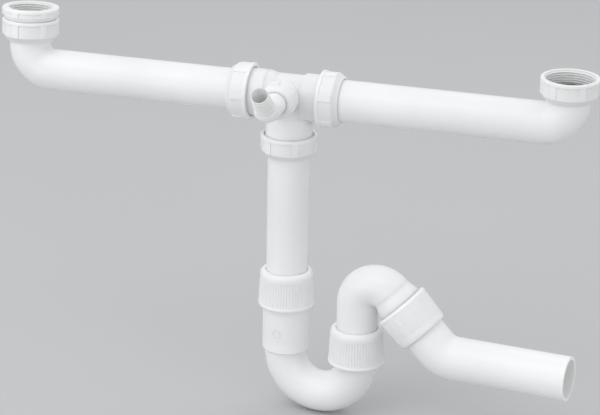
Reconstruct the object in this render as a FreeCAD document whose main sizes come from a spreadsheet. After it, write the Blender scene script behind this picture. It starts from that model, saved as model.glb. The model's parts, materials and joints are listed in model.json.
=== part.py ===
"""Double kitchen sink trap: two inlet arms, a tee with a hose nozzle, a bottle-neck U trap and a
gooseneck that leads to a horizontal outlet pipe.

The row's origin is the centre of the right inlet's mouth. +X runs along the arms from the left inlet
to the right one, +Z is up, and the hose nozzle points towards -Y. Lengths are millimetres.
"""
import FreeCAD, Part
import math
import os

import Sketcher
from FreeCAD import Placement, Rotation, Vector

SIZES = {
    # The standard parts: 40 mm tube and one and a half inch unions
    "tube_diameter": 40.0,
    "tube_wall": 2.5,
    "slide_clearance": 0.5,
    "running_gap": 0.3,
    "union_thread_diameter": 47.6,
    "thread_clearance": 0.3,
    "socket_diameter": 45.0,
    "thread_length": 11.5,
    "elbow_radius": 24.0,

    # Ribbed union nut
    "nut_height": 21.0,
    "nut_floor": 2.5,
    "nut_diameter": 52.8,
    "nut_rim_diameter": 54.8,
    "nut_rim_height": 3.7,
    "nut_end_diameter": 44.6,
    "nut_shoulder": 5.5,
    "nut_hole_gap": 0.4,
    "nut_relief": 0.3,
    "nut_inner_chamfer": 1.7,
    "nut_rib_count": 6,
    "nut_rib_width": 6.2,
    "nut_rib_height": 0.8,
    "nut_edge_fillet": 0.6,

    # Knurled nut of the trap
    "trap_nut_height": 37.0,
    "trap_nut_floor": 3.0,
    "trap_nut_top_diameter": 51.0,
    "trap_nut_diameter": 54.2,
    "trap_nut_rounding": 5.0,
    "trap_nut_bead_diameter": 54.8,
    "trap_nut_bead_height": 4.0,
    "trap_nut_grooves": 36,
    "trap_nut_groove_width": 1.3,
    "trap_nut_groove_depth": 0.7,
    "trap_nut_smooth_top": 6.5,

    # Seals, slip rings, collars and gaskets
    "slip_ring_height": 1.5,
    "slip_ring_diameter": 44.8,
    "seal_height": 3.4,
    "seal_diameter": 46.0,
    "seal_depth": 3.5,
    "mouth_depth": 5.0,
    "mouth_diameter": 45.6,
    "collar_height": 2.5,
    "collar_diameter": 44.4,
    "gasket_height": 2.1,
    "gasket_bore": 35.2,

    # Tee
    "tee_middle_diameter": 41.0,
    "tee_left_shoulder": 20.0,
    "tee_right_shoulder": 16.0,
    "tee_branch_shoulder": 20.0,
    "tee_shoulder_run": 3.0,
    "tee_left_reach": 57.0,
    "tee_right_reach": 52.5,
    "tee_branch_reach": 59.0,
    "tee_bore": 36.0,
    "tee_stop": 16.0,

    # Inlet arms
    "left_reach": 264.4,
    "right_reach": 266.5,
    "left_nut_rim_rise": 49.1,
    "right_nut_rim_rise": 46.2,
    "left_tilt": 4.2,
    "arm_insertion": 30.0,

    # Adapter screwed into the left inlet nut
    "adapter_rise": 11.4,
    "adapter_diameter": 53.0,
    "adapter_rim_diameter": 55.0,
    "adapter_rim_height": 3.5,
    "adapter_body_height": 3.7,
    "adapter_foot_diameter": 48.4,
    "adapter_bore": 42.0,
    "adapter_waterway": 37.0,
    "adapter_thread_depth": 15.0,

    # Drop tube and U bend
    "trap_turn": 6.5,
    "trap_nut_top_drop": 177.0,
    "drop_insertion": 50.0,
    "bend_below_nut": 86.0,
    "bend_radius": 37.5,
    "socket_foot_rise": 2.0,
    "socket_taper": 2.0,
    "trap_socket_diameter": 45.5,
    "socket_stop_rise": 13.0,
    "outlet_socket_depth": 23.0,

    # Gooseneck
    "riser_nut_rise": 38.0,
    "riser_insertion": 15.0,
    "gooseneck_rise": 46.5,
    "gooseneck_radius": 20.3,
    "leg_nut_end": 48.4,
    "leg_flare_start": 5.0,
    "leg_flare_length": 5.0,
    "leg_stop": 12.0,

    # Outlet pipe
    "outlet_diameter": 42.5,
    "outlet_wall": 3.0,
    "outlet_nut_height": 35.0,
    "outlet_nut_rounding": 3.0,
    "outlet_insertion": 20.0,
    "outlet_corner_run": 78.3,
    "outlet_bend_radius": 30.0,
    "outlet_rise_angle": 0.5,
    "outlet_length": 124.7,

    # Hose nozzle on the tee
    "boss_offset": 6.0,
    "boss_neck_diameter": 25.0,
    "boss_thread_diameter": 26.0,
    "boss_thread_length": 9.0,
    "boss_bore": 18.0,
    "nozzle_nut_front": 48.0,
    "nozzle_nut_height": 19.0,
    "nozzle_nut_front_diameter": 28.0,
    "nozzle_nut_diameter": 33.0,
    "nozzle_nut_rim_height": 3.0,
    "nozzle_nut_rim_diameter": 34.5,
    "nozzle_nut_shoulder": 3.0,
    "nozzle_nut_floor": 2.0,
    "nozzle_nut_inner_chamfer": 0.4,
    "nozzle_nut_rib_width": 3.6,
    "nozzle_diameter": 22.0,
    "nozzle_wall": 3.4,
    "nozzle_collar_diameter": 25.2,
    "nozzle_collar_height": 1.6,
    "nozzle_gasket_height": 1.4,
    "nozzle_elbow_radius": 14.0,
    "nozzle_corner_reach": 74.0,
    "nozzle_length": 33.0,
    "barb_count": 7,
    "barb_pitch": 3.4,
    "barb_crest_diameter": 19.5,
    "barb_mouth_diameter": 16.4,
    "barb_depth": 0.6,
}

document = FreeCAD.newDocument("double_sink_trap")
sheet = document.addObject("Spreadsheet::Sheet", "sizes")
for row, (name, number) in enumerate(SIZES.items(), start=1):
    sheet.set(f"A{row}", name)
    sheet.set(f"B{row}", str(number))
    sheet.setAlias(f"B{row}", name)
document.recompute()


class Size:
    """A size with the sheet expression that gives it, so that a drawn value stays bound to the sheet."""

    def __init__(self, text, number):
        self.text = text
        self.number = number

    def __add__(self, other):
        return joined(self, "+", other, self.number + plain(other))

    def __radd__(self, other):
        return joined(other, "+", self, plain(other) + self.number)

    def __sub__(self, other):
        return joined(self, "-", other, self.number - plain(other))

    def __rsub__(self, other):
        return joined(other, "-", self, plain(other) - self.number)

    def __mul__(self, other):
        return joined(self, "*", other, self.number * plain(other))

    def __rmul__(self, other):
        return joined(other, "*", self, plain(other) * self.number)

    def __truediv__(self, other):
        return joined(self, "/", other, self.number / plain(other))

    def __neg__(self):
        return joined(0, "-", self, -self.number)


def plain(value):
    return value.number if isinstance(value, Size) else float(value)


def written(value):
    return value.text if isinstance(value, Size) else f"({float(value)})"


def joined(first, sign, second, number):
    return Size(f"({written(first)} {sign} {written(second)})", number)


def size(name):
    return Size(f"sizes.{name}", float(SIZES[name]))


def sine(angle):
    return Size(f"sin({written(angle)})", math.sin(math.radians(plain(angle))))


def cosine(angle):
    return Size(f"cos({written(angle)})", math.cos(math.radians(plain(angle))))


def tangent(angle):
    return Size(f"tan({written(angle)})", math.tan(math.radians(plain(angle))))


def bind(item, property_name, value):
    if isinstance(value, Size):
        item.setExpression(property_name, value.text)


# Sizes worked out from the sheet
tube = size("tube_diameter") / 2
tube_bore = tube - size("tube_wall")
socket_bore = tube + size("slide_clearance")
nut_hole = tube + size("nut_hole_gap")
seal_bore = tube + size("running_gap")
thread = size("union_thread_diameter") / 2
nut_bore = thread + size("thread_clearance")
gap = size("running_gap")
seat_height = gap + size("slip_ring_height") + size("seal_height")
mouth_depth = size("mouth_depth")
mouth = size("mouth_diameter") / 2
right_rise = size("right_nut_rim_rise")
tee_x = -size("right_reach")
tee_z = -right_rise
trap_turn = size("trap_turn")
elbow = size("elbow_radius")
trap_nut_drop = size("trap_nut_top_drop")
bend_drop = trap_nut_drop + size("bend_below_nut")
riser_nut_drop = bend_drop - size("riser_nut_rise")
gooseneck_drop = riser_nut_drop - size("gooseneck_rise")


def new_body(label):
    body = document.addObject("PartDesign::Body", label)
    body.Label = label
    return body


def plane_of(body, role):
    return [feature for feature in body.Origin.OriginFeatures if feature.Role == role][0]


def new_sketch(body, role, name, shift=(0, 0, 0), turn=0):
    """An empty sketch on one of the body's own planes, shifted and turned within that plane."""
    sketch = body.newObject("Sketcher::SketchObject", name)
    sketch.AttachmentSupport = [(plane_of(body, role), "")]
    sketch.MapMode = "FlatFace"
    base = Vector(*[plain(value) for value in shift])
    sketch.AttachmentOffset = Placement(base, Rotation(Vector(0, 0, 1), plain(turn)))
    for letter, value in zip("xyz", shift):
        bind(sketch, f"AttachmentOffset.Base.{letter}", value)
    return sketch


def fix_point(sketch, line, end, point):
    """Ties one end of a line to its place from the sketch's origin."""
    for kind, value in zip(("DistanceX", "DistanceY"), point):
        index = sketch.addConstraint(Sketcher.Constraint(kind, -1, 1, line, end, plain(value)))
        bind(sketch, f"Constraints[{index}]", value)


def outline(sketch, points, arc_centres=None, closed=True):
    """Lines through the points, with arcs in place of the steps that arc_centres names."""
    places = [Vector(plain(across), plain(up), 0) for across, up in points]
    following = places[1:] + places[:1] if closed else places[1:]
    steps = []
    for number, (start, end) in enumerate(zip(places, following)):
        centre = (arc_centres or {}).get(number)
        first, last = 1, 2
        if centre is None:
            piece = sketch.addGeometry(Part.LineSegment(start, end), False)
        else:
            piece = sketch.addGeometry(arc_between(start, end, centre), False)
            if sketch.getPoint(piece, 1).distanceToPoint(start) > (end - start).Length / 2:
                first, last = 2, 1
            index = sketch.addConstraint(
                Sketcher.Constraint("DistanceY", -1, 1, piece, 3, plain(centre[1])))
            bind(sketch, f"Constraints[{index}]", centre[1])
        steps.append((piece, first, last))
    neighbours = steps[1:] + steps[:1] if closed else steps[1:]
    for (piece, _, last), (other, first, _) in zip(steps, neighbours):
        sketch.addConstraint(Sketcher.Constraint("Coincident", piece, last, other, first))
    for point, (piece, first, _) in zip(points, steps):
        fix_point(sketch, piece, first, point)
    if not closed:
        piece, _, last = steps[-1]
        fix_point(sketch, piece, last, points[-1])


def circle(sketch, radius, centre=(0, 0)):
    place = Vector(plain(centre[0]), plain(centre[1]), 0)
    ring = sketch.addGeometry(Part.Circle(place, Vector(0, 0, 1), plain(radius)), False)
    index = sketch.addConstraint(Sketcher.Constraint("Radius", ring, plain(radius)))
    bind(sketch, f"Constraints[{index}]", radius)
    for kind, value in zip(("DistanceX", "DistanceY"), centre):
        index = sketch.addConstraint(Sketcher.Constraint(kind, -1, 1, ring, 3, plain(value)))
        bind(sketch, f"Constraints[{index}]", value)


def revolve(body, name, points, role="XZ_Plane", axis="V_Axis", cut=False, shift=(0, 0, 0), turn=0):
    """Turns an outline a full circle about one axis of its sketch, to add or to cut away."""
    sketch = new_sketch(body, role, f"{name}_outline", shift, turn)
    outline(sketch, points)
    kind = "PartDesign::Groove" if cut else "PartDesign::Revolution"
    feature = body.newObject(kind, name)
    feature.Profile = sketch
    feature.ReferenceAxis = (sketch, [axis])
    feature.Angle = 360
    return feature


def spine(body, role, name, points, arc_centres):
    """A path whose points are joined by lines, or by arcs about the centres that are given."""
    sketch = new_sketch(body, role, name)
    outline(sketch, points, arc_centres, closed=False)
    return sketch


def arc_between(start, end, centre):
    """The shorter arc about a centre, or the lower half circle where both are alike."""
    hub = Vector(plain(centre[0]), plain(centre[1]), 0)
    radius = (start - hub).Length
    half_way = (start + end) * 0.5 - hub
    if half_way.Length < radius * 1e-6:
        half_way = Vector(0, -1, 0)
    return Part.Arc(start, hub + half_way.normalize() * radius, end)


def sweep(body, name, path, radius, centre=(0, 0), role="XY_Plane", shift=(0, 0, 0), cut=False):
    """Carries a circle along a path, to add a rod or to cut a bore."""
    profile = new_sketch(body, role, f"{name}_circle", shift)
    circle(profile, radius, centre)
    kind = "PartDesign::SubtractivePipe" if cut else "PartDesign::AdditivePipe"
    feature = body.newObject(kind, name)
    feature.Profile = profile
    feature.Spine = path
    return feature


def place(body, base, *turns):
    """Moves a body to its place in the row: turned about Z, then Y, then X in the order given."""
    rotation = Rotation()
    for axis, angle in turns:
        rotation = rotation.multiply(Rotation(axis, plain(angle)))
    body.Placement = Placement(Vector(*[plain(value) for value in base]), rotation)
    for letter, value in zip("xyz", base):
        bind(body, f"Placement.Base.{letter}", value)
    return body


ABOUT_X = Vector(1, 0, 0)
ABOUT_Y = Vector(0, 1, 0)
ABOUT_Z = Vector(0, 0, 1)


def polar_pattern(body, name, feature, sketch, count):
    pattern = body.newObject("PartDesign::PolarPattern", name)
    pattern.Originals = [feature]
    pattern.Axis = (sketch, ["N_Axis"])
    pattern.Angle = 360
    pattern.Occurrences = int(plain(count))
    bind(pattern, "Occurrences", count)
    body.Tip = pattern
    return pattern


def pad_block(body, name, inner, outer, width, low, high, cut=False):
    """A radial block, from one radius to another, added to a body or cut from it."""
    sketch = new_sketch(body, "XY_Plane", f"{name}_outline", (0, 0, low))
    half = width / 2
    outline(sketch, [(inner, -half), (outer, -half), (outer, half), (inner, half)])
    feature = body.newObject("PartDesign::Pocket" if cut else "PartDesign::Pad", name)
    feature.Profile = sketch
    feature.Length = plain(high - low)
    bind(feature, "Length", high - low)
    if cut:
        feature.Reversed = True
    return feature, sketch


def ribbed_nut(label, hole, height, end, shoulder, main, rim, rim_height, floor, bore, rib_width,
               seat, chamfer):
    """A union nut: its closed end is at z = 0, and its mouth looks along +Z."""
    body = new_body(label)
    relief = bore + size("nut_relief")
    rib_top = height - size("nut_edge_fillet")
    revolve(body, "shell", [
        (hole, 0), (end, 0), (main, shoulder), (main, height - rim_height),
        (rim, height - rim_height + size("nut_edge_fillet")), (rim, rib_top),
        (rim - size("nut_edge_fillet"), height), (bore, height), (bore, seat), (relief, seat),
        (relief, floor + chamfer), (relief - chamfer, floor), (hole, floor)])
    rib, sketch = pad_block(body, "rib", relief + gap, main + size("nut_rib_height"), rib_width,
                            shoulder, height - rim_height + size("nut_edge_fillet"))
    polar_pattern(body, "ribs", rib, sketch, size("nut_rib_count"))
    return body


def union_nut(label):
    return ribbed_nut(
        label, nut_hole, size("nut_height"), size("nut_end_diameter") / 2, size("nut_shoulder"),
        size("nut_diameter") / 2, size("nut_rim_diameter") / 2, size("nut_rim_height"),
        size("nut_floor"), nut_bore, size("nut_rib_width"), union_seat,
        size("nut_inner_chamfer"))


def knurled_nut(label, hole, height, rounding):
    """A tall grip nut of the trap, with its rounded closed end at z = 0."""
    body = new_body(label)
    top = size("trap_nut_top_diameter") / 2
    foot = size("trap_nut_diameter") / 2
    bead = size("trap_nut_bead_diameter") / 2
    bead_low = height - size("trap_nut_bead_height")
    edge = size("nut_edge_fillet")
    steps = [30, 60]
    crown = [(top - rounding + rounding * sine(angle), rounding - rounding * cosine(angle))
             for angle in steps]
    revolve(body, "shell", [
        (hole, 0), (top - rounding, 0), *crown, (top, rounding), (foot, bead_low),
        (bead, bead_low + edge), (bead, height - edge * 2), (bead - edge * 2, height),
        (nut_bore, height), (nut_bore, size("trap_nut_floor")), (hole, size("trap_nut_floor"))])
    groove, sketch = pad_block(
        body, "groove", foot - size("trap_nut_groove_depth"), foot + edge,
        size("trap_nut_groove_width"), size("trap_nut_smooth_top"), bead_low, cut=True)
    polar_pattern(body, "knurl", groove, sketch, size("trap_nut_grooves"))
    return body


def slip_ring(label, bore, floor):
    body = new_body(label)
    outer = size("slip_ring_diameter") / 2
    low = floor + gap
    high = low + size("slip_ring_height")
    revolve(body, "ring", [(bore, low), (outer, low), (outer, high), (bore, high)])
    return body


def wedge_seal(label, bore, floor):
    """A rubber seal whose cone points into the socket's flared mouth, away from the nut's floor."""
    body = new_body(label)
    low = floor + gap + size("slip_ring_height")
    high = floor + seat_height - gap
    outer = size("seal_diameter") / 2
    root = mouth - gap
    slope = (mouth - bore - gap) / mouth_depth
    tip = root - slope * size("seal_depth")
    revolve(body, "wedge", [
        (bore, low), (outer, low), (outer, high), (root, high),
        (tip, high + size("seal_depth")), (bore, high + size("seal_depth"))])
    return body


def flat_gasket(label, low, height, bore, outer):
    body = new_body(label)
    revolve(body, "ring", [(bore, low), (outer, low), (outer, low + height), (bore, low + height)])
    return body


# Heights of a socket's mouth above the closed end of the nut that covers it
union_seat = size("nut_floor") + seat_height
trap_seat = size("trap_nut_floor") + seat_height
nozzle_seat = (size("nozzle_nut_floor") + gap + size("nozzle_collar_height")
               + size("nozzle_gasket_height") + gap)


def tee_body():
    """The tee: a run with a socket at each end, a threaded branch below and a boss for the hose."""
    body = new_body("tee_body")
    middle = size("tee_middle_diameter") / 2
    socket = size("socket_diameter") / 2
    run = size("tee_shoulder_run")
    band = size("thread_length")
    left = -size("tee_left_reach") + union_seat
    right = size("tee_right_reach") - union_seat
    low = -size("tee_branch_reach") + union_seat
    left_step = -size("tee_left_shoulder")
    right_step = size("tee_right_shoulder")
    branch_step = -size("tee_branch_shoulder")
    edge = thread - socket
    revolve(body, "run", [
        (left, 0), (left, thread - edge), (left + edge, thread), (left + band - edge, thread),
        (left + band, socket), (left_step, socket), (left_step + run, middle),
        (right_step - run, middle), (right_step, socket), (right - band, socket),
        (right - band + edge, thread), (right - edge, thread), (right, thread - edge), (right, 0)],
        axis="H_Axis")
    revolve(body, "branch", [
        (0, 0), (0, low), (thread - edge, low), (thread, low + edge), (thread, low + band - edge),
        (socket, low + band), (socket, branch_step), (middle, branch_step + run), (middle, 0)])
    boss_end = nozzle_seat - size("nozzle_nut_front")
    neck = size("boss_neck_diameter") / 2
    hose_thread = size("boss_thread_diameter") / 2
    revolve(body, "hose_boss", [
        (0, 0), (boss_end, 0), (boss_end, hose_thread), (boss_end + size("boss_thread_length"),
        hose_thread), (boss_end + size("boss_thread_length"), neck), (0, neck)],
        role="YZ_Plane", axis="H_Axis", shift=(0, size("boss_offset"), 0))
    bore = size("tee_bore") / 2
    stop = size("tee_stop")
    revolve(body, "run_bore", [
        (left, 0), (left, mouth), (left + mouth_depth, socket_bore), (-stop, socket_bore),
        (-stop, bore), (stop, bore), (stop, socket_bore), (right - mouth_depth, socket_bore),
        (right, mouth), (right, 0)], axis="H_Axis", cut=True)
    revolve(body, "branch_bore", [(0, 0), (0, low), (bore, low), (bore, 0)], cut=True)
    revolve(body, "hose_bore", [
        (0, 0), (boss_end, 0), (boss_end, size("boss_bore") / 2), (0, size("boss_bore") / 2)],
        role="YZ_Plane", axis="H_Axis", shift=(0, size("boss_offset"), 0), cut=True)
    place(body, (tee_x, 0, tee_z))


def arm_pipe(label, reach, rim_rise, tee_reach, tilt, side):
    """A tube from the tee's socket to an elbow whose collared end looks up through its nut."""
    body = new_body(label)
    inner_end = -side * (reach - tee_reach + size("arm_insertion"))
    collar_low = rim_rise - size("nut_height") + size("nut_floor") + gap
    top = collar_low + size("collar_height")
    path = spine(body, "XZ_Plane", "path", [
        (inner_end, 0), (-side * elbow, 0), (0, elbow), (0, top)], {1: (-side * elbow, elbow)})
    shift = (0, 0, inner_end)
    sweep(body, "tube", path, tube, role="YZ_Plane", shift=shift)
    collar = size("collar_diameter") / 2
    revolve(body, "collar", [
        (tube_bore, collar_low), (collar, collar_low), (collar, top), (tube_bore, top)])
    sweep(body, "bore", path, tube_bore, role="YZ_Plane", shift=shift, cut=True)
    place(body, (tee_x + side * reach, 0, tee_z), (ABOUT_X, tilt))


def drop_tube():
    body = new_body("drop_tube")
    collar_low = -size("tee_branch_reach") + size("nut_floor") + gap
    top = collar_low + size("collar_height")
    low = -trap_nut_drop - trap_seat - size("drop_insertion")
    collar = size("collar_diameter") / 2
    revolve(body, "tube", [
        (tube_bore, low), (tube, low), (tube, collar_low), (collar, collar_low), (collar, top),
        (tube_bore, top)])
    place(body, (tee_x, 0, tee_z))


def u_bend():
    """The U bend, with z = 0 at the height where its two legs turn into the bend."""
    body = new_body("u_bend")
    radius = size("bend_radius")
    apart = radius * 2
    socket = size("trap_socket_diameter") / 2
    band = size("thread_length")
    edge = thread - socket
    foot = size("socket_foot_rise")
    taper = size("socket_taper")
    bend_z = -bend_drop
    inlet_top = -trap_nut_drop - trap_seat - bend_z
    outlet_top = -riser_nut_drop - trap_seat - bend_z
    path = spine(body, "XZ_Plane", "path", [(0, 0), (apart, 0)], {0: (radius, 0)})
    sweep(body, "bend", path, tube)
    inlet = [(0, 0), (tube, 0), (tube, foot), (socket, foot + taper), (socket, inlet_top - band),
             (thread, inlet_top - band + edge), (thread, inlet_top - edge),
             (thread - edge, inlet_top), (0, inlet_top)]
    revolve(body, "inlet_socket", inlet)
    step = outlet_top - size("outlet_socket_depth")
    outlet = [(0, 0), (tube, 0), (tube, step - taper), (socket, step),
              (socket, outlet_top - band), (thread, outlet_top - band + edge),
              (thread, outlet_top - edge), (thread - edge, outlet_top), (0, outlet_top)]
    revolve(body, "outlet_socket", outlet, shift=(apart, 0, 0))
    sweep(body, "bend_bore", path, tube_bore, cut=True)
    stop = size("socket_stop_rise")
    revolve(body, "inlet_bore", [
        (0, 0), (tube_bore, 0), (tube_bore, stop), (socket_bore, stop),
        (socket_bore, inlet_top - mouth_depth), (mouth, inlet_top), (0, inlet_top)], cut=True)
    revolve(body, "outlet_bore", [
        (0, 0), (tube_bore, 0), (tube_bore, step), (socket_bore, step),
        (socket_bore, outlet_top - mouth_depth), (mouth, outlet_top), (0, outlet_top)],
        shift=(apart, 0, 0), cut=True)
    place(body, (tee_x, 0, tee_z + bend_z), (ABOUT_Z, -trap_turn))


LEG_ANGLE = 45
leg = size("gooseneck_radius")
leg_cosine = cosine(LEG_ANGLE)
leg_start_x = leg + leg * leg_cosine
leg_start_z = leg * leg_cosine
leg_mouth = size("leg_nut_end") - trap_seat
outlet_tube = size("outlet_diameter") / 2
outlet_gap = outlet_tube + size("slide_clearance")


def gooseneck():
    """The riser, its turn over the top and the sloping socket, with z = 0 at the riser's last point."""
    body = new_body("gooseneck")
    turn_z = -gooseneck_drop - leg
    low = -riser_nut_drop - trap_seat - size("riser_insertion") - turn_z
    path = spine(body, "XZ_Plane", "path", [
        (0, low), (0, 0), (leg_start_x, leg_start_z),
        (leg_start_x + leg_mouth * leg_cosine, leg_start_z - leg_mouth * leg_cosine)],
        {1: (leg, 0)})
    shift = (0, 0, low)
    sweep(body, "tube", path, tube, shift=shift)
    socket = size("socket_diameter") / 2
    edge = thread - socket
    flare = size("leg_flare_start")
    full = flare + size("leg_flare_length")
    band = leg_mouth - size("thread_length")
    offset = (leg_start_x, leg_start_z, 0)
    turn = LEG_ANGLE - 180
    revolve(body, "leg_socket", [
        (0, 0), (tube, 0), (tube, flare), (socket, full), (socket, band), (thread, band + edge),
        (thread, leg_mouth - edge), (thread - edge, leg_mouth), (0, leg_mouth)],
        shift=offset, turn=turn)
    sweep(body, "bore", path, tube_bore, shift=shift, cut=True)
    stop = size("leg_stop")
    revolve(body, "leg_bore", [
        (0, stop), (outlet_gap, stop), (outlet_gap, leg_mouth - mouth_depth), (mouth, leg_mouth),
        (0, leg_mouth)], shift=offset, turn=turn, cut=True)
    place(body, (riser_x, riser_y, tee_z + turn_z), (ABOUT_Z, -trap_turn))


riser_x = tee_x + size("bend_radius") * 2 * cosine(trap_turn)
riser_y = -size("bend_radius") * 2 * sine(trap_turn)


def along_leg(run):
    """A point of the row at a distance along the sloping leg from the gooseneck's turn."""
    radial = size("bend_radius") * 2 + leg_start_x + run * leg_cosine
    height = tee_z - gooseneck_drop - leg + leg_start_z - run * leg_cosine
    return (tee_x + radial * cosine(trap_turn), -radial * sine(trap_turn), height)


def outlet_pipe():
    """The outlet pipe, with its origin where the centrelines of its two stretches cross."""
    body = new_body("outlet_pipe")
    rise = size("outlet_rise_angle")
    bend = size("outlet_bend_radius")
    corner = size("outlet_corner_run")
    start = corner - leg_mouth + size("outlet_insertion")
    setback = bend * tangent((LEG_ANGLE + rise) / 2)
    length = size("outlet_length")
    slope = cosine(LEG_ANGLE)
    first = (-start * slope, start * slope)
    bend_start = (-setback * slope, setback * slope)
    bend_end = (setback * cosine(rise), setback * sine(rise))
    last = (length * cosine(rise), length * sine(rise))
    centre = (bend_end[0] - bend * sine(rise), bend_end[1] + bend * cosine(rise))
    path = spine(body, "XZ_Plane", "path", [first, bend_start, bend_end, last], {1: centre})
    for name, radius, cut in (("tube", outlet_tube, False),
                              ("bore", outlet_tube - size("outlet_wall"), True)):
        profile = new_sketch(body, "YZ_Plane", f"{name}_circle")
        profile.AttachmentSupport = [(path, "Edge3")]
        profile.MapMode = "NormalToEdge"
        profile.MapPathParameter = 1
        profile.AttachmentOffset = Placement()
        circle(profile, radius)
        kind = "PartDesign::SubtractivePipe" if cut else "PartDesign::AdditivePipe"
        feature = body.newObject(kind, name)
        feature.Profile = profile
        feature.Spine = path
    place(body, along_leg(corner), (ABOUT_Z, -trap_turn))


def inlet_adapter():
    """The reducing adapter in the left inlet nut, drawn from the closed end of that nut."""
    body = new_body("left_adapter")
    nut_top = size("nut_height")
    top = nut_top + size("adapter_rise")
    rim = size("adapter_rim_diameter") / 2
    main = size("adapter_diameter") / 2
    foot = size("adapter_foot_diameter") / 2
    male = nut_bore - gap
    edge = size("nut_edge_fillet")
    rim_low = top - size("adapter_rim_height")
    main_low = rim_low - size("adapter_body_height")
    seat = union_seat + gap
    water = size("adapter_waterway") / 2
    bore = size("adapter_bore") / 2
    thread_low = top - size("adapter_thread_depth")
    revolve(body, "shell", [
        (water, seat), (male - edge, seat), (male, seat + edge), (male, nut_top + gap),
        (foot, nut_top + gap), (main, main_low), (main, rim_low), (rim, rim_low + edge),
        (rim, top - edge), (rim - edge, top), (bore, top), (bore, thread_low),
        (water, thread_low)])
    rib, sketch = pad_block(body, "rib", foot, main + size("nut_rib_height"),
                            size("nut_rib_width"), main_low, rim_low + edge)
    polar_pattern(body, "ribs", rib, sketch, size("nut_rib_count"))
    return body


def hose_nozzle():
    """The barbed hose nozzle, with its origin where its two centrelines cross."""
    body = new_body("hose_nozzle")
    outer = size("nozzle_diameter") / 2
    bore = outer - size("nozzle_wall")
    reach = size("nozzle_corner_reach")
    nut_inside = reach - size("nozzle_nut_front") + size("nozzle_nut_floor") + gap
    back = nut_inside + size("nozzle_collar_height")
    bend = size("nozzle_elbow_radius")
    setback = bend * tangent(LEG_ANGLE / 2)
    slope = cosine(LEG_ANGLE)
    length = size("nozzle_length")
    bend_end = (-setback * slope, setback * slope)
    tip = (-length * slope, length * slope)
    centre = (setback, bend)
    turn = spine(body, "YZ_Plane", "turn", [(setback, 0), bend_end], {0: centre})
    sweep(body, "elbow", turn, outer, role="XZ_Plane", shift=(0, 0, -setback))
    collar = size("nozzle_collar_diameter") / 2
    revolve(body, "collar", [
        (setback, 0), (setback, outer), (nut_inside, outer), (nut_inside, collar), (back, collar),
        (back, 0)], role="YZ_Plane", axis="H_Axis")
    crest = size("barb_crest_diameter") / 2
    end = size("barb_mouth_diameter") / 2
    pitch = size("barb_pitch")
    depth = size("barb_depth")
    count = int(SIZES["barb_count"])
    barbs = [(0, setback), (outer, setback), (crest, length - pitch * count)]
    for number in range(count):
        share = (count - number - 1) / count
        base = length - pitch * (count - number)
        barbs += [(end + (crest - end) * ((count - number) / count) - depth, base),
                  (end + (crest - end) * share, base + pitch * 0.9)]
    barbs += [(end - depth, length), (0, length)]
    revolve(body, "barbs", barbs, role="YZ_Plane", turn=LEG_ANGLE)
    waterway = spine(body, "YZ_Plane", "waterway", [(back, 0), (setback, 0), bend_end, tip],
                     {1: centre})
    sweep(body, "bore", waterway, bore, role="XZ_Plane", shift=(0, 0, -back), cut=True)
    place(body, (tee_x, -reach, tee_z + size("boss_offset")))


# The pieces, from the inlets down to the outlet
tee_body()
tee_joints = [
    ("left_tee", (tee_x - size("tee_left_reach"), 0, tee_z), (ABOUT_Y, 90)),
    ("right_tee", (tee_x + size("tee_right_reach"), 0, tee_z), (ABOUT_Y, -90)),
]
for name, base, turn in tee_joints:
    place(union_nut(f"{name}_nut"), base, turn)
    place(slip_ring(f"{name}_slip_ring", seal_bore, size("nut_floor")), base, turn)
    place(wedge_seal(f"{name}_seal", seal_bore, size("nut_floor")), base, turn)

place(union_nut("lower_tee_nut"), (tee_x, 0, tee_z - size("tee_branch_reach")))
collar_top = size("nut_floor") + gap + size("collar_height")
gasket_bore = size("gasket_bore") / 2
gasket_edge = size("collar_diameter") / 2
for name, base, turn in (
        ("lower_tee_gasket", (tee_x, 0, tee_z - size("tee_branch_reach")), 0),
        ("right_inlet_gasket", (tee_x + size("right_reach"), 0,
                                tee_z + right_rise - size("nut_height")), 0)):
    gasket = flat_gasket(name, collar_top, size("gasket_height"), gasket_bore, gasket_edge)
    place(gasket, base)

arm_pipe("left_arm_pipe", size("left_reach"), size("left_nut_rim_rise"), size("tee_left_reach"),
         -size("left_tilt"), -1)
arm_pipe("right_arm_pipe", size("right_reach"), right_rise, size("tee_right_reach"), 0, 1)
place(union_nut("right_inlet_nut"),
      (tee_x + size("right_reach"), 0, tee_z + right_rise - size("nut_height")))

left_lift = size("left_nut_rim_rise") - size("nut_height")
left_seat = (tee_x - size("left_reach"), left_lift * sine(size("left_tilt")),
             tee_z + left_lift * cosine(size("left_tilt")))
left_lean = (ABOUT_X, -size("left_tilt"))
place(union_nut("left_inlet_nut"), left_seat, left_lean)
gasket = flat_gasket("left_inlet_gasket", collar_top, size("gasket_height"), gasket_bore, gasket_edge)
place(gasket, left_seat, left_lean)
place(inlet_adapter(), left_seat, left_lean)

drop_tube()
u_bend()
gooseneck()
outlet_pipe()

floor = size("trap_nut_floor")
outlet_bore = outlet_tube + gap
around = (ABOUT_Z, -trap_turn)
trap_joints = [
    ("trap_inlet", (tee_x, 0, tee_z - trap_nut_drop), [(ABOUT_X, 180)],
     nut_hole, seal_bore, size("trap_nut_height"), size("trap_nut_rounding")),
    ("riser", (riser_x, riser_y, tee_z - riser_nut_drop), [around, (ABOUT_X, 180)],
     nut_hole, seal_bore, size("trap_nut_height"), size("trap_nut_rounding")),
    ("outlet", along_leg(size("leg_nut_end")), [around, (ABOUT_Y, -LEG_ANGLE)],
     outlet_tube + size("nut_hole_gap"), outlet_bore, size("outlet_nut_height"),
     size("outlet_nut_rounding")),
]
for name, base, turns, hole, bore, height, rounding in trap_joints:
    place(knurled_nut(f"{name}_nut", hole, height, rounding), base, *turns)
    place(slip_ring(f"{name}_slip_ring", bore, floor), base, *turns)
    place(wedge_seal(f"{name}_seal", bore, floor), base, *turns)

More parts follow.
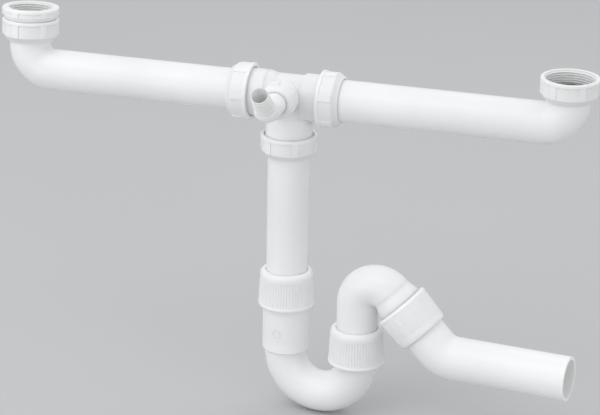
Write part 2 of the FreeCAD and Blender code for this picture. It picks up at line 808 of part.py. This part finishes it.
nozzle_nut = ribbed_nut(
    "nozzle_nut", size("nozzle_diameter") / 2 + size("nut_hole_gap"), size("nozzle_nut_height"),
    size("nozzle_nut_front_diameter") / 2, size("nozzle_nut_shoulder"),
    size("nozzle_nut_diameter") / 2, size("nozzle_nut_rim_diameter") / 2,
    size("nozzle_nut_rim_height"), size("nozzle_nut_floor"),
    size("boss_thread_diameter") / 2 + size("thread_clearance"), size("nozzle_nut_rib_width"),
    nozzle_seat, size("nozzle_nut_inner_chamfer"))
nozzle_base = (tee_x, -size("nozzle_nut_front"), tee_z + size("boss_offset"))
place(nozzle_nut, nozzle_base, (ABOUT_X, -90))
nozzle_gasket = flat_gasket(
    "nozzle_gasket", size("nozzle_nut_floor") + gap + size("nozzle_collar_height"),
    size("nozzle_gasket_height"), size("boss_bore") / 2, size("nozzle_collar_diameter") / 2)
place(nozzle_gasket, nozzle_base, (ABOUT_X, -90))
hose_nozzle()

document.recompute()

bodies = [item for item in document.Objects if item.TypeId == "PartDesign::Body"]
for item in document.Objects:
    if "Invalid" in item.State or "Error" in item.State:
        raise RuntimeError(f"{item.Label} failed: {item.State}")
for body in bodies:
    if body.Shape.isNull() or not body.Shape.isValid() or len(body.Shape.Solids) != 1:
        raise RuntimeError(f"{body.Label} is not one valid solid")

os.makedirs("parts", exist_ok=True)
for body in bodies:
    body.Shape.exportStep(os.path.join("parts", f"{body.Label}.step"))
    print(body.Label, round(body.Shape.Volume / 1000, 2), "cm3")
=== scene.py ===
"""Looks of the double kitchen sink trap: white moulded plastic over a pale studio floor.

Lengths are metres in the part's frame, whose origin is the centre of the right inlet's mouth. The
sizes of the nuts and fairings are millimetres, as their headings say.
"""
import json
import math

import bmesh
import bpy
from mathutils import Matrix, Vector


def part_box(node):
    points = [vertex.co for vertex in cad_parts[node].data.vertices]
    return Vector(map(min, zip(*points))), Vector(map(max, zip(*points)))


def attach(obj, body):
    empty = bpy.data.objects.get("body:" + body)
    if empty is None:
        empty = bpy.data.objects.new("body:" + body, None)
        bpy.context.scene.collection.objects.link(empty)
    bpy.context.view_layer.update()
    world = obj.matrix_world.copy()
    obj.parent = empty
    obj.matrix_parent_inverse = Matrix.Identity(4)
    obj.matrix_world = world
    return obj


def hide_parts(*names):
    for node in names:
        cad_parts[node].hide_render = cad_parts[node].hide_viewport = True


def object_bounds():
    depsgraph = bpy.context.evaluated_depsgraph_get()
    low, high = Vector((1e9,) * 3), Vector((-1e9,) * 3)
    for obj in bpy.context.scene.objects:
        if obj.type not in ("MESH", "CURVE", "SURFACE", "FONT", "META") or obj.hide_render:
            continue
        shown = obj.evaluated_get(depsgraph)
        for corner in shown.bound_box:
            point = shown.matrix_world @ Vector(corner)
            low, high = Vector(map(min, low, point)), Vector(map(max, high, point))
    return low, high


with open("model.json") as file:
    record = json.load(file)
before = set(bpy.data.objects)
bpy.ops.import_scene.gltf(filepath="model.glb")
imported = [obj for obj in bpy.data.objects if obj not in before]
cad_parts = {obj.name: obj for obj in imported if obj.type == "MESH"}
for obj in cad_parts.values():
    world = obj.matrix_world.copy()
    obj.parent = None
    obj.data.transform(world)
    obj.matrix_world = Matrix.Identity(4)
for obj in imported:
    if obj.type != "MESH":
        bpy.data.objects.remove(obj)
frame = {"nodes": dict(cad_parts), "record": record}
cad_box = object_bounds()

MM = 0.001
record = frame["record"]
nodes = frame["nodes"]
mounts = {mount["name"]: mount for mount in record["mounts"]}
joints = {joint["name"]: joint for joint in record["behaviour"]["joints"]}
slots = {part["node"]: part["material_slot"] for part in record["subparts"]}


def tee_centre():
    """Where the arms' axis crosses the drop tube's axis."""
    low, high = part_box("drop_tube")
    arm_low, arm_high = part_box("left_tee_nut")
    return Vector(((low[0] + high[0]) / 2, (low[1] + high[1]) / 2, (arm_low[2] + arm_high[2]) / 2))


tee = tee_centre()

# Camera, fitted to the outlines of the tubes in the photograph

PHOTO_WIDTH = 600
FOCAL_PIXELS = 2311.93
SENSOR_WIDTH = 36.0
CAMERA_YAW = 16.04
CAMERA_PITCH = 20.73
CAMERA_ROLL = 1.10
CAMERA_DISTANCE = 2.19098
CAMERA_SIDE = -0.00978
CAMERA_RISE = 0.10648
CAMERA_SIGHT = 50


def add_camera():
    yaw, pitch, roll = [math.radians(a) for a in (CAMERA_YAW, CAMERA_PITCH, CAMERA_ROLL)]
    ahead = Vector((-math.sin(yaw) * math.cos(pitch), math.cos(yaw) * math.cos(pitch),
                    -math.sin(pitch)))
    level = Vector((math.cos(yaw), math.sin(yaw), 0))
    upright = level.cross(ahead)
    right = math.cos(roll) * level + math.sin(roll) * upright
    up = math.cos(roll) * upright - math.sin(roll) * level
    place = tee - ahead * CAMERA_DISTANCE - right * CAMERA_SIDE - up * CAMERA_RISE
    camera = bpy.data.cameras.new("camera")
    camera.sensor_width = SENSOR_WIDTH
    camera.lens = FOCAL_PIXELS / PHOTO_WIDTH * SENSOR_WIDTH
    camera.clip_end = CAMERA_SIGHT
    holder = bpy.data.objects.new("camera", camera)
    turn = Matrix((right, up, -ahead)).transposed().to_4x4()
    holder.matrix_world = Matrix.Translation(place) @ turn
    bpy.context.collection.objects.link(holder)
    bpy.context.scene.camera = holder


# Materials

WHITE = (0.87, 0.878, 0.868)
DULL_WHITE = (0.74, 0.74, 0.72)
RUBBER_DARK = (0.018, 0.018, 0.018)
RUBBER_LIGHT = (0.035, 0.034, 0.033)
FLOW_MARK_SHADE = 0.94
EDGE_RADIUS = 0.5 * MM
EDGE_SAMPLES = 6
GRAIN_DISTANCE = 0.15 * MM
WAVES_OVER_GRAIN = 2.0
PLASTIC_IOR = 1.49
GLOW_WEIGHT = 0.35
GLOW_RADIUS = (7 * MM, 7 * MM, 6.3 * MM)

# Each plastic's tint, roughness and strength of grain
PLASTICS = {
    "pipe": (WHITE, 0.36, 0.15),
    "nut": (WHITE, 0.40, 0.2),
    "nozzle": (WHITE, 0.38, 0.15),
    "slip_ring": (DULL_WHITE, 0.45, 0.15),
}
SHEEN_SPREAD = (-0.05, 0.06)
RUBBER_ROUGHNESS = (0.55, 0.72)

# The part of a noise's range that a look spans
MARK_BAND = (0.35, 0.65)
ROUGH_BAND = (0.3, 0.7)

# Noise patterns, by their scale and detail
FLOW_MARKS = (9, 3)
SHEEN = (60, 4)
GRAIN = (900, 3)
WAVES = (40, 2)
BLOOM = (120, 5)
FLOOR_CLOUDS = (3, 3)


def new_material(name):
    """A material with its node tree, its shader and the coordinates of the object it is on."""
    material = bpy.data.materials.new(name)
    material.use_nodes = True
    tree = material.node_tree
    coordinates = tree.nodes.new("ShaderNodeTexCoord").outputs["Object"]
    return material, tree, tree.nodes["Principled BSDF"], coordinates


def add_noise(tree, coordinates, pattern):
    scale, detail = pattern
    noise = tree.nodes.new("ShaderNodeTexNoise")
    noise.inputs["Scale"].default_value = scale
    noise.inputs["Detail"].default_value = detail
    tree.links.new(coordinates, noise.inputs["Vector"])
    return noise.outputs["Fac"]


def mix_colours(tree, factor, first, second):
    mix = tree.nodes.new("ShaderNodeMix")
    mix.data_type = "RGBA"
    mix.inputs["A"].default_value = (*first, 1)
    mix.inputs["B"].default_value = (*second, 1)
    tree.links.new(factor, mix.inputs["Factor"])
    return mix.outputs["Result"]


def map_range(tree, value, band, span):
    """A value whose band is stretched or squeezed to a span."""
    node = tree.nodes.new("ShaderNodeMapRange")
    names = ("From Min", "From Max", "To Min", "To Max")
    for name, number in zip(names, (*band, *span)):
        node.inputs[name].default_value = number
    tree.links.new(value, node.inputs["Value"])
    return node.outputs["Result"]


def moulded_surface(tree, coordinates, strength):
    """A normal with soft edges, long faint waves and a fine grain."""
    soft_edges = tree.nodes.new("ShaderNodeBevel")
    soft_edges.samples = EDGE_SAMPLES
    soft_edges.inputs["Radius"].default_value = EDGE_RADIUS
    height = tree.nodes.new("ShaderNodeMath")
    height.operation = "MULTIPLY_ADD"
    tree.links.new(add_noise(tree, coordinates, WAVES), height.inputs[0])
    height.inputs[1].default_value = WAVES_OVER_GRAIN
    tree.links.new(add_noise(tree, coordinates, GRAIN), height.inputs[2])
    bump = tree.nodes.new("ShaderNodeBump")
    bump.inputs["Strength"].default_value = strength
    bump.inputs["Distance"].default_value = GRAIN_DISTANCE
    tree.links.new(height.outputs[0], bump.inputs["Height"])
    tree.links.new(soft_edges.outputs["Normal"], bump.inputs["Normal"])
    return bump.outputs["Normal"]


def white_plastic(name, tint, roughness, grain):
    """Moulded polypropylene: near white, satin, a little translucent, with faint flow marks."""
    material, tree, shader, coordinates = new_material(name)
    marks = map_range(tree, add_noise(tree, coordinates, FLOW_MARKS), MARK_BAND, (0, 1))
    shade = tuple(channel * FLOW_MARK_SHADE for channel in tint)
    tree.links.new(mix_colours(tree, marks, tint, shade), shader.inputs["Base Color"])
    sheen = [roughness + change for change in SHEEN_SPREAD]
    tree.links.new(map_range(tree, add_noise(tree, coordinates, SHEEN), ROUGH_BAND, sheen),
                   shader.inputs["Roughness"])
    tree.links.new(moulded_surface(tree, coordinates, grain), shader.inputs["Normal"])
    shader.inputs["IOR"].default_value = PLASTIC_IOR
    shader.inputs["Subsurface Weight"].default_value = GLOW_WEIGHT
    shader.inputs["Subsurface Radius"].default_value = GLOW_RADIUS
    shader.inputs["Subsurface Scale"].default_value = 1.0
    return material


def black_rubber():
    material, tree, shader, coordinates = new_material("black_rubber")
    bloom = add_noise(tree, coordinates, BLOOM)
    tree.links.new(mix_colours(tree, bloom, RUBBER_DARK, RUBBER_LIGHT),
                   shader.inputs["Base Color"])
    tree.links.new(map_range(tree, bloom, ROUGH_BAND, RUBBER_ROUGHNESS),
                   shader.inputs["Roughness"])
    return material


finishes = {slot: white_plastic(slot + "_plastic", *look) for slot, look in PLASTICS.items()}
finishes["rubber"] = black_rubber()


def paint(piece, slot):
    piece.data.materials.clear()
    piece.data.materials.append(finishes[slot])


# Meshes

SHARP_ANGLE = math.radians(35)


def dress(name, mesh, body, slot):
    """A piece in its slot's finish that rides on a body."""
    piece = bpy.data.objects.new(name, mesh)
    bpy.context.collection.objects.link(piece)
    paint(piece, slot)
    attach(piece, body)
    return piece


def add_mesh(name, vertices, faces, body, slot):
    mesh = bpy.data.meshes.new(name)
    mesh.from_pydata(vertices, [], faces)
    shape = bmesh.new()
    shape.from_mesh(mesh)
    bmesh.ops.recalc_face_normals(shape, faces=shape.faces)
    shape.to_mesh(mesh)
    shape.free()
    for face in mesh.polygons:
        face.use_smooth = True
    mesh.set_sharp_from_angle(angle=SHARP_ANGLE)
    return dress(name, mesh, body, slot)


def even_angles(count):
    return [2 * math.pi * step / count for step in range(count)]


def strip_faces(rows, width, closed_rows, closed_width):
    """Faces between rows of points that are numbered row by row."""
    faces = []
    for row in range(rows if closed_rows else rows - 1):
        here = row * width
        there = (row + 1) % rows * width
        for point in range(width if closed_width else width - 1):
            following = (point + 1) % width
            faces.append((here + point, there + point, there + following, here + following))
    return faces


def add_turned(name, outline_at, angles, origin, axis, body, slot):
    """A ring of sections about an axis. outline_at gives the closed section at each angle."""
    turn = Vector((0, 0, 1)).rotation_difference(Vector(axis)).to_matrix()
    vertices = []
    for angle in angles:
        for radius, along in outline_at(angle):
            point = Vector((radius * math.cos(angle), radius * math.sin(angle), along))
            vertices.append(Vector(origin) + turn @ point)
    faces = strip_faces(len(angles), len(vertices) // len(angles), True, True)
    return add_mesh(name, vertices, faces, body, slot)


# Knurled nuts of the trap, in millimetres from the closed end

NUT_TOP = 51.6 / 2
NUT_FOOT = 54.3 / 2
NUT_BEAD = 54.8 / 2
NUT_BEAD_HEIGHT = 4.0
NUT_BEAD_CHAMFER = 2.2
NUT_EDGE = 0.4
NUT_FLOOR = 3.0
NUT_BORE = 47.9 / 2
GROOVES = 60
GROOVE_WIDTH = 1.0
GROOVE_SLOPE = 0.12
GROOVE_DEPTH = 0.42
GROOVE_START = 7.5
TUBE_HOLE = 20.4
OUTLET_HOLE = 21.65
# Each nut's hole radius, its height and the rounding of its crown
KNURLED_NUTS = {
    "trap_inlet_nut": (TUBE_HOLE, 37.0, 5.0),
    "riser_nut": (TUBE_HOLE, 37.0, 5.0),
    "outlet_nut": (OUTLET_HOLE, 35.0, 3.0),
}


def quarter_arc(centre, radius, first, steps=6):
    """Points of a quarter circle, from the angle first, in degrees."""
    angles = [math.radians(first + 90 * step / steps) for step in range(steps + 1)]
    return [(centre[0] + radius * math.cos(a), centre[1] + radius * math.sin(a)) for a in angles]


def groove_angles():
    """Where the knurl's sections lie: the middle of each land and both edges of each groove."""
    half_pitch = math.pi / GROOVES
    outer = (GROOVE_WIDTH / 2 + GROOVE_SLOPE) / NUT_FOOT
    inner = (GROOVE_WIDTH / 2 - GROOVE_SLOPE) / NUT_FOOT
    between = (half_pitch + outer) / 2
    offsets = (-half_pitch, -between, -outer, -inner, inner, outer, between)
    return [2 * half_pitch * groove + offset for groove in range(GROOVES) for offset in offsets]


def knurled_section(angle, hole, height, rounding):
    """The closed section of a nut at an angle, on a land or in a groove."""
    pitch = 2 * math.pi / GROOVES
    away = abs((angle + pitch / 2) % pitch - pitch / 2) * NUT_FOOT
    depth = GROOVE_DEPTH if away < GROOVE_WIDTH / 2 else 0.0
    bead_low = height - NUT_BEAD_HEIGHT
    taper = (NUT_FOOT - NUT_TOP) / (bead_low - rounding)
    start = NUT_TOP + taper * (GROOVE_START - rounding)
    crown = quarter_arc((NUT_TOP - rounding, rounding), rounding, -90)
    groove = [(start, GROOVE_START), (start - depth, GROOVE_START + depth),
              (NUT_FOOT - depth, bead_low - depth), (NUT_FOOT, bead_low)]
    bead_centre = (NUT_BEAD - NUT_BEAD_CHAMFER, height - NUT_BEAD_CHAMFER)
    bead = [(NUT_BEAD, bead_low + NUT_EDGE)] + quarter_arc(bead_centre, NUT_BEAD_CHAMFER, 0)
    inside = [(NUT_BORE, height), (NUT_BORE, NUT_FLOOR), (hole, NUT_FLOOR)]
    points = [(hole, 0)] + crown + groove + bead + inside
    return [(radius * MM, along * MM) for radius, along in points]


def add_knurled_nut(node, hole, height, rounding):
    """A trap nut with its full knurl, in place of the plainer solid, round the same axis."""
    hinge = joints[node + "_turn"]
    open_end = -Vector(hinge["axis"])
    piece = add_turned(
        node + "_knurled", lambda angle: knurled_section(angle, hole, height, rounding),
        groove_angles(), hinge["pos_m"], open_end, node, "nut")
    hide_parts(node)


# Pieces that the photograph shows turned about their axes: the joint, the degrees and the body

TURNED_PIECES = {
    "left_tee_nut": ("left_tee_nut_turn", -25.6, "left_tee_nut"),
    "right_tee_nut": ("right_tee_nut_turn", 11.0, "right_tee_nut"),
    "nozzle_nut": ("nozzle_nut_turn", -25.0, "nozzle_nut"),
    "right_inlet_nut": ("right_inlet_nut_spin", 5.0, "right_inlet_nut"),
    "left_inlet_nut": ("left_inlet_nut_spin", 19.5, "left_inlet_nut"),
    "left_adapter": ("left_inlet_nut_spin", 19.5, "left_inlet_nut"),
}


def add_turned_copy(node, joint, degrees, body):
    """A copy of a solid's mesh, turned about the joint's axis, in place of the solid."""
    hinge = joints[joint]
    centre = Matrix.Translation(Vector(hinge["pos_m"]))
    turn = Matrix.Rotation(math.radians(degrees), 4, Vector(hinge["axis"]))
    mesh = nodes[node].data.copy()
    mesh.transform(centre @ turn @ centre.inverted())
    piece = dress(node + "_turned", mesh, body, slots[node])
    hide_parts(node)


# Fairings over stepped shoulders, in millimetres: the radii of the tube and the socket, and where
# the swell starts and ends along the axis

FAIRING_WALL = 2.4
FAIRING_SIDES = 128
LEG_NUT_END = 48.4
LEG_SWELL = {"small": 20.02, "large": 22.56, "start": -1.0, "end": 13.0}
TEE_SWELL = {"small": 20.52, "large": 22.54, "start": 12.0, "end": 21.5}
TOWARDS_LEFT_ARM = Vector((-1, 0, 0))


def smooth_step(share):
    return share * share * (3 - 2 * share)


def swell(small, large, start, end, steps=12):
    """Radii that grow smoothly from small to large between two places along an axis."""
    shares = [step / steps for step in range(steps + 1)]
    return [(small + (large - small) * smooth_step(share), start + (end - start) * share)
            for share in shares]


def add_fairing(name, origin, axis, outside, body):
    """A wall that follows the outside given and closes a step beneath it."""
    inside = [(radius - FAIRING_WALL, along) for radius, along in reversed(outside)]
    outline = [(radius * MM, along * MM) for radius, along in outside + inside]
    add_turned(name, lambda angle: outline, even_angles(FAIRING_SIDES), origin, axis, body, "pipe")


def add_leg_fairing():
    """The flare of the gooseneck's leg, which starts where the leg leaves the curve."""
    hinge = joints["outlet_nut_turn"]
    axis = Vector(hinge["axis"])
    start = Vector(hinge["pos_m"]) - axis * LEG_NUT_END * MM
    add_fairing("leg_fairing", start, axis, swell(**LEG_SWELL), "gooseneck")


# Threads of the open mouths

THREAD_PITCH = 2.309 * MM
THREAD_LEAD_IN = 0.15 * MM
THREAD_SINK = 0.05 * MM
THREAD_STEPS = 72
THREAD_FADE = THREAD_STEPS // 6
HALF_FOOT = THREAD_PITCH * 0.42
HALF_CREST = THREAD_PITCH * 0.12
HALF_FLANK = HALF_CREST * 1.7
FLANK_RISE = 0.8
RIGHT_RIDGE = 1.35 * MM
LEFT_RIDGE = 1.25 * MM


def add_inner_thread(name, mount, body, ridge):
    """A right-handed ridge inside a threaded mouth, from just below the mouth to its far end."""
    turn = Vector((0, 0, 1)).rotation_difference(Vector(mount["axis"])).to_matrix()
    mouth = Vector(mount["pos_m"])
    outer = mount["dims"]["r_mm"] * MM + THREAD_SINK
    depth = mount["dims"]["length_mm"] * MM
    profile = [(-HALF_FOOT, 0.0), (-HALF_FLANK, ridge * FLANK_RISE), (-HALF_CREST, ridge),
               (HALF_CREST, ridge), (HALF_FLANK, ridge * FLANK_RISE), (HALF_FOOT, 0.0)]
    steps = int((depth - THREAD_LEAD_IN - HALF_FOOT * 2) / THREAD_PITCH * THREAD_STEPS)
    vertices = []
    for step in range(steps + 1):
        angle = 2 * math.pi * step / THREAD_STEPS
        level = -depth + HALF_FOOT + THREAD_PITCH * step / THREAD_STEPS
        share = min(1, step / THREAD_FADE, (steps - step) / THREAD_FADE)
        for along, rise in profile:
            radius = outer - (rise + THREAD_SINK) * share
            point = Vector((radius * math.cos(angle), radius * math.sin(angle), level + along))
            vertices.append(mouth + turn @ point)
    add_mesh(name, vertices, strip_faces(steps + 1, len(profile), False, False), body, "nut")


# The moulded ring on the front of the U bend's socket

MARK_RADIUS = 3.6 * MM
MARK_WIDTH = 1.1 * MM
MARK_RISE = 0.45 * MM
MARK_SINK = 0.1 * MM
MARK_DROP = 53 * MM
MARK_SECTIONS = 48
SOCKET_RADIUS = 22.75 * MM
TRAP_TURN = math.radians(6.5)


def add_ring_mark():
    """A plain ring laid on the socket's round wall, as far round as the trap is swivelled."""
    facing = Vector((-math.sin(TRAP_TURN), -math.cos(TRAP_TURN), 0))
    across = Vector((0, 0, 1)).cross(facing)
    socket_low, socket_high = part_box("u_bend")
    centre = Vector((tee.x, tee.y, socket_high[2] - MARK_DROP))
    profile = [(-MARK_WIDTH / 2, -MARK_SINK), (-MARK_WIDTH / 4, MARK_RISE),
               (MARK_WIDTH / 4, MARK_RISE), (MARK_WIDTH / 2, -MARK_SINK)]
    vertices = []
    for angle in even_angles(MARK_SECTIONS):
        for offset, lift in profile:
            swing = (MARK_RADIUS + offset) * math.cos(angle) / SOCKET_RADIUS
            up = (MARK_RADIUS + offset) * math.sin(angle)
            direction = facing * math.cos(swing) + across * math.sin(swing)
            vertices.append(centre + direction * (SOCKET_RADIUS + lift) + Vector((0, 0, up)))
    faces = strip_faces(MARK_SECTIONS, len(profile), True, False)
    add_mesh("mould_ring", vertices, faces, "u_bend", "pipe")


# Surroundings

FLOOR_REACH = 12.0
FLOOR_GAP = 0.5 * MM
FLOOR_ROUGHNESS = 0.85
FLOOR_DARK = (0.50, 0.505, 0.51)
FLOOR_LIGHT = (0.52, 0.525, 0.53)
LIT_DROP = 0.13
SKY_COLOUR = (0.97, 0.98, 1.0)
SKY_STRENGTH = 0.82
# Each lamp's place from the lit point, its width and height, and its power in watts
LAMPS = {
    "key": ((-1.0, -1.5, 2.3), 2.2, 2.0, 21.4),
    "fill": ((-1.6, -2.2, 0.2), 2.0, 1.6, 17.4),
    "side": ((2.2, -1.2, 0.2), 1.6, 1.6, 7.6),
    "back": ((0.4, 1.2, 1.8), 1.8, 0.8, 5),
}
LIGHT_BOUNCES = 14
DIFFUSE_BOUNCES = 10


def add_floor():
    """A wide pale floor just below the object."""
    level = cad_box[0][2] - FLOOR_GAP
    corners = [(-1, -1), (1, -1), (1, 1), (-1, 1)]
    vertices = [(tee.x + x * FLOOR_REACH, tee.y + y * FLOOR_REACH, level) for x, y in corners]
    mesh = bpy.data.meshes.new("floor")
    mesh.from_pydata(vertices, [], [(0, 1, 2, 3)])
    floor = bpy.data.objects.new("floor", mesh)
    bpy.context.collection.objects.link(floor)
    material, tree, shader, coordinates = new_material("pale_floor")
    shader.inputs["Roughness"].default_value = FLOOR_ROUGHNESS
    clouds = add_noise(tree, coordinates, FLOOR_CLOUDS)
    tree.links.new(mix_colours(tree, clouds, FLOOR_DARK, FLOOR_LIGHT),
                   shader.inputs["Base Color"])
    mesh.materials.append(material)


def add_lamp(name, place, target, width, height, power):
    light = bpy.data.lights.new(name, "AREA")
    light.shape = "RECTANGLE"
    light.size = width
    light.size_y = height
    light.energy = power
    holder = bpy.data.objects.new(name, light)
    holder.location = place
    holder.rotation_euler = (target - place).to_track_quat("-Z", "Y").to_euler()
    bpy.context.collection.objects.link(holder)


def add_sky():
    world = bpy.data.worlds.new("studio")
    world.use_nodes = True
    background = world.node_tree.nodes["Background"]
    background.inputs["Color"].default_value = (*SKY_COLOUR, 1)
    background.inputs["Strength"].default_value = SKY_STRENGTH
    bpy.context.scene.world = world


# The scene

add_camera()
for node, slot in slots.items():
    paint(nodes[node], slot)
add_inner_thread("right_inlet_thread", mounts["right_inlet"], "right_inlet_nut", RIGHT_RIDGE)
add_inner_thread("left_inlet_thread", mounts["left_inlet"], "left_inlet_nut", LEFT_RIDGE)
add_ring_mark()
for node, (hole, height, rounding) in KNURLED_NUTS.items():
    add_knurled_nut(node, hole, height, rounding)
for node, (joint, degrees, body) in TURNED_PIECES.items():
    add_turned_copy(node, joint, degrees, body)
add_leg_fairing()
add_fairing("tee_fairing", tee, TOWARDS_LEFT_ARM, swell(**TEE_SWELL), "tee")

add_floor()
lit_point = tee - Vector((0, 0, LIT_DROP))
for name, (offset, width, height, power) in LAMPS.items():
    add_lamp(name, lit_point + Vector(offset), lit_point, width, height, power)
add_sky()
bpy.context.scene.cycles.max_bounces = LIGHT_BOUNCES
bpy.context.scene.cycles.diffuse_bounces = DIFFUSE_BOUNCES
bpy.context.scene.view_settings.view_transform = "Standard"
